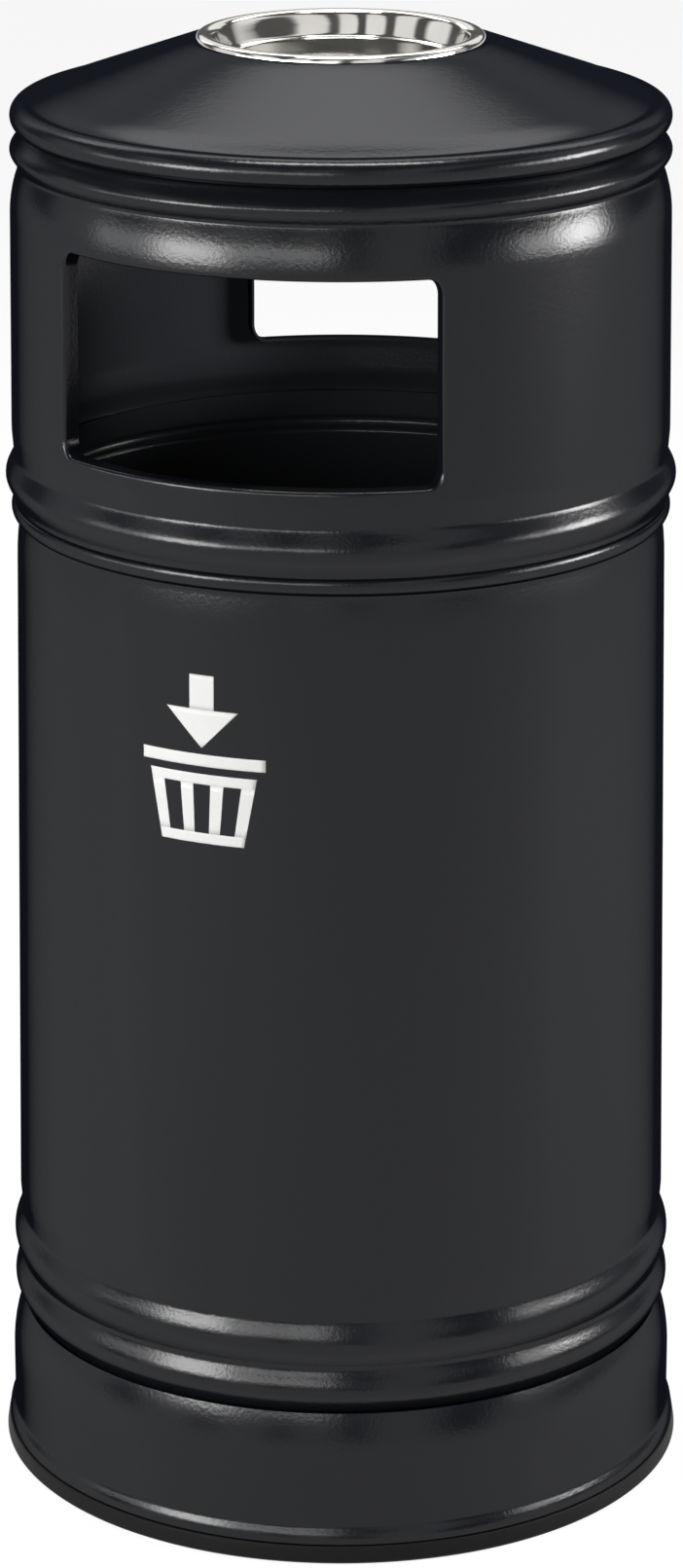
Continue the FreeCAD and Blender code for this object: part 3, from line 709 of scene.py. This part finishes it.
# Bail: a circle carried along a flat path of pin, bend, half circle, bend and pin, shrinking at the tips
def bailTube():
    radius, bend = bail["radius"], bail["bend"]
    side = reach("bail_handle") - radius
    start = side - bend - bail["earGap"] - bail["earSheet"] - bail["tip"]
    pinHeight = (low("bail_handle") + high("bail_handle")) / 2
    pin = np.linspace(start, side - bend, bail["bendSteps"])
    corner = np.linspace(0, math.pi / 2, bail["bendSteps"])[1:]
    sweep = np.linspace(0, math.pi, bail["steps"])[1:]
    x = np.concatenate([pin, side - bend + bend * np.sin(corner), side * np.cos(sweep)])
    y = np.concatenate([0 * pin, -bend + bend * np.cos(corner), -bend - side * np.sin(sweep)])
    tail = slice(len(pin) + len(corner) - 2, None, -1)  # the first end again, mirrored
    path = np.stack([np.concatenate([x, -x[tail]]), np.concatenate([y, y[tail]])], axis=1)
    slope = np.gradient(path, axis=0)
    slope /= np.hypot(*slope.T)[:, None]
    tipSize = radius * np.array(bail["tipSizes"])
    tipPlace = bail["tipRound"] * (1 - np.array(bail["tipPlaces"]))[:, None]
    size = np.concatenate([tipSize, np.full(len(path), radius), tipSize[::-1]])[:, None]
    path = np.concatenate([path[:1] - slope[:1] * tipPlace, path, path[-1:] + slope[-1:] * tipPlace[::-1]])
    tips = len(tipSize)
    slope = np.concatenate([np.repeat(slope[:1], tips, axis=0), slope, np.repeat(slope[-1:], tips, axis=0)])
    around = evenAngles(bail["around"])[None, :]
    out = np.stack([-slope[:, 1], slope[:, 0]], axis=1)
    across = size * np.cos(around)
    return np.stack([path[:, :1] + out[:, :1] * across, path[:, 1:] + out[:, 1:] * across,
                     pinHeight + size * np.sin(around)], axis=-1), False, True


makePiece("bailHandle", [bailTube()], "bail", wire, ["bail_handle"])


# Rivets: a section of shank and two domed heads, spun and copied round a circle

rivet = dict(head=5.0, headHeight=2.1, shank=2.5, domeSteps=6, domePower=1.3, around=20, sheet=1.5,
             baseCircle=175.5, hoodCircle=171.1, count=8)


def rivetSection(bottom, top):  # (radius, height) from pole to pole: dome, shank, dome
    dome = np.linspace(0, math.pi / 2, rivet["domeSteps"])
    radius = rivet["head"] * np.sin(dome)
    rise = rivet["headHeight"] * np.cos(dome) ** rivet["domePower"]
    lower = np.stack([radius, bottom - rise], axis=1)
    upper = np.stack([radius, top + rise], axis=1)[::-1]
    stem = np.array([[rivet["shank"], bottom], [rivet["shank"], top]])
    return np.concatenate([lower, stem, upper])


def uprightRivets(circle, bottom, top):  # copies of one rivet on a circle
    one = spun(rivetSection(bottom, top), evenAngles(rivet["around"]))
    places = [np.array([circle * math.cos(a), circle * math.sin(a), 0]) for a in evenAngles(rivet["count"])]
    return [(one + place, False, True) for place in places]


baseRivets = uprightRivets(rivet["baseCircle"], low("base_skirt"), low("base_pan") + rivet["sheet"])
makePiece("baseRivets", baseRivets, "body", rivetMetal, ["base_rivets"])
hoodRivets = uprightRivets(rivet["hoodCircle"], seam - rivet["sheet"], seam + rivet["sheet"])
makePiece("hoodRivets", hoodRivets, "hood", rivetMetal, ["hood_rivets"])

plainNodes = dict(base_pan=galvanised, bail_ear_left=galvanised, bail_ear_right=galvanised,
                  ear_rivets=rivetMetal)
for node, material in plainNodes.items():  # these show as they are
    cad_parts[node].data.materials.clear()
    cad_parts[node].data.materials.append(material)
print("pieces ready")


# Studio: floor, world, lamps and camera

studio = dict(floorSize=80.0, floorColour="#808080", shadeColour="#585858", floorGlow=0.9,
              worldColour="#ffffff", worldStrength=0.12, worldGlow=0.92, panelLow=0.1, panelHigh=1.0,
              aimHeight=0.5)


def seenRays(tree):  # 1 for rays from the camera and for those that a mirror or glass sends on
    rays = addNode(tree, "ShaderNodeLightPath").outputs
    direct = addNode(tree, "ShaderNodeMath", {"operation": "ADD"},
                     {0: rays["Is Camera Ray"], 1: rays["Is Glossy Ray"]}).outputs[0]
    return addNode(tree, "ShaderNodeMath", {"operation": "ADD", "use_clamp": True},
                   {0: direct, 1: rays["Is Transmission Ray"]}).outputs[0]


# Floor paint: plain grey for bounced light; where it is seen it is near white and keeps the shadow
def studioPaint():
    material = bpy.data.materials.new("studioPaint")
    material.use_nodes = True
    tree = material.node_tree
    tree.nodes.clear()
    plain = addNode(tree, "ShaderNodeBsdfDiffuse", {"Color": linear(studio["floorColour"])}).outputs[0]
    shade = addNode(tree, "ShaderNodeBsdfDiffuse", {"Color": linear(studio["shadeColour"])}).outputs[0]
    glow = addNode(tree, "ShaderNodeEmission", {"Strength": studio["floorGlow"]}).outputs[0]
    white = addNode(tree, "ShaderNodeAddShader", links={0: shade, 1: glow}).outputs[0]
    shown = addNode(tree, "ShaderNodeMixShader", links={0: seenRays(tree), 1: plain, 2: white}).outputs[0]
    addNode(tree, "ShaderNodeOutputMaterial", links={"Surface": shown})
    return material


reachOut = studio["floorSize"] / 2
floorMesh = bpy.data.meshes.new("studioFloor")
floorMesh.from_pydata([(-reachOut, -reachOut, 0), (reachOut, -reachOut, 0),
                       (reachOut, reachOut, 0), (-reachOut, reachOut, 0)], [], [(0, 1, 2, 3)])
floor = bpy.data.objects.new("studioFloor", floorMesh)
bpy.context.scene.collection.objects.link(floor)
floorMesh.materials.append(studioPaint())


# World: dim light all round, pale to the camera, and upright pale panels for the steel to mirror, which fade
# overhead and at the back
def studioWorld():
    world = bpy.data.worlds.new("studioWorld")
    world.use_nodes = True
    tree = world.node_tree
    tree.nodes.clear()
    colour = linear(studio["worldColour"])
    direction = addNode(tree, "ShaderNodeTexCoord").outputs["Generated"]
    part = addNode(tree, "ShaderNodeSeparateXYZ", links={"Vector": direction}).outputs
    panels = addNode(tree, "ShaderNodeTexWave", {"Scale": 0.7, "Distortion": 3.0, "Detail": 1.0},
                     {"Vector": direction}).outputs["Fac"]
    climb = addNode(tree, "ShaderNodeMapRange", {"From Min": 0.75, "From Max": 0.45},
                    {"Value": part["Z"]}).outputs["Result"]
    ahead = addNode(tree, "ShaderNodeMapRange", {"From Min": 0.8, "From Max": 0.3},
                    {"Value": part["Y"]}).outputs["Result"]
    faded = addNode(tree, "ShaderNodeMath", {"operation": "MULTIPLY"}, {0: panels, 1: climb}).outputs[0]
    faded = addNode(tree, "ShaderNodeMath", {"operation": "MULTIPLY"}, {0: faded, 1: ahead}).outputs[0]
    level = addNode(tree, "ShaderNodeMapRange",
                    {"From Min": 0.1, "From Max": 0.36,
                     "To Min": studio["panelLow"], "To Max": studio["panelHigh"]},
                    {"Value": faded}).outputs["Result"]
    mirrored = addNode(tree, "ShaderNodeBackground", {"Color": colour}, {"Strength": level}).outputs[0]
    sky = addNode(tree, "ShaderNodeBackground",
                  {"Color": colour, "Strength": studio["worldStrength"]}).outputs[0]
    around = addNode(tree, "ShaderNodeMixShader", links={0: seenRays(tree), 1: sky, 2: mirrored}).outputs[0]
    pale = addNode(tree, "ShaderNodeBackground",
                   {"Color": colour, "Strength": studio["worldGlow"]}).outputs[0]
    direct = addNode(tree, "ShaderNodeLightPath").outputs["Is Camera Ray"]
    backdrop = addNode(tree, "ShaderNodeMixShader", links={0: direct, 1: around, 2: pale}).outputs[0]
    addNode(tree, "ShaderNodeOutputWorld", links={"Surface": backdrop})
    return world


bpy.context.scene.world = studioWorld()

# Soft boxes: angle from the camera's side of the bin, distance and height of the middle, size, power in watts
lamps = [
    dict(name="leftBox", angle=-51, distance=2.1, height=0.95, width=0.85, tall=0.55, power=27),
    dict(name="leftPanel", angle=-61, distance=2.2, height=0.95, width=2.3, tall=0.55, power=16),
    dict(name="frontBox", angle=-19, distance=2.3, height=1.1, width=1.25, tall=0.45, power=10.5),
    dict(name="rightBox", angle=87, distance=2.1, height=0.95, width=0.7, tall=0.55, power=31),
    dict(name="rightPanel", angle=80, distance=2.2, height=0.95, width=1.5, tall=0.55, power=22),
    dict(name="backBox", angle=180, distance=1.5, height=2.9, width=4.6, tall=1.1, power=66),
    dict(name="backPanel", angle=180, distance=2.6, height=1.9, width=4.6, tall=1.0, power=14),
    dict(name="topBox", angle=0, distance=0.15, height=2.9, width=1.4, tall=0.4, power=50),
]
# Camera: angles in degrees, place in metres, focal length, axis and frame in pixels, sensor in millimetres
viewpoint = dict(azimuth=18.75, distance=2.977, height=1.377, pitch=17.99,
                 focal=5418.0, axisX=350.4, frameWidth=702, frameHeight=1611, sensor=36)


def placeAround(angle, distance, height):  # a place at an angle from the front
    return np.array([distance * math.sin(angle), -distance * math.cos(angle), height])


def lookAt(place, target):  # matrix that puts a lamp at a place and aims it at a target
    toward = (np.array(target) - place) / np.linalg.norm(np.array(target) - place)
    side = np.cross(toward, (0, 0, 1))
    side /= np.linalg.norm(side)
    up = np.cross(side, toward)
    return Matrix(np.vstack([np.column_stack([side, up, -toward, place]), (0, 0, 0, 1)]).tolist())


for lamp in lamps:
    light = bpy.data.lights.new(lamp["name"], "AREA")
    light.shape = "RECTANGLE"
    light.size, light.size_y, light.energy = lamp["width"], lamp["tall"], lamp["power"]
    box = bpy.data.objects.new(lamp["name"], light)
    bearing = math.radians(viewpoint["azimuth"] + lamp["angle"])
    place = placeAround(bearing, lamp["distance"], lamp["height"])
    box.matrix_world = lookAt(place, (0, 0, studio["aimHeight"]))
    box.visible_camera = False
    bpy.context.scene.collection.objects.link(box)

camera = bpy.data.cameras.new("viewCamera")
camera.sensor_width = viewpoint["sensor"]
camera.lens = viewpoint["focal"] / viewpoint["frameHeight"] * viewpoint["sensor"]
bearing = math.radians(viewpoint["azimuth"])
offAxis = math.atan((viewpoint["frameWidth"] / 2 - viewpoint["axisX"]) / viewpoint["focal"])
viewer = bpy.data.objects.new("viewCamera", camera)
viewer.matrix_world = (
    Matrix.Translation(placeAround(bearing, viewpoint["distance"], viewpoint["height"]).tolist())
    @ Matrix.Rotation(bearing - offAxis, 4, "Z")
    @ Matrix.Rotation(math.radians(90 - viewpoint["pitch"]), 4, "X"))
bpy.context.scene.collection.objects.link(viewer)
bpy.context.scene.camera = viewer
bpy.context.scene.view_settings.view_transform = "Standard"
print("studio ready")
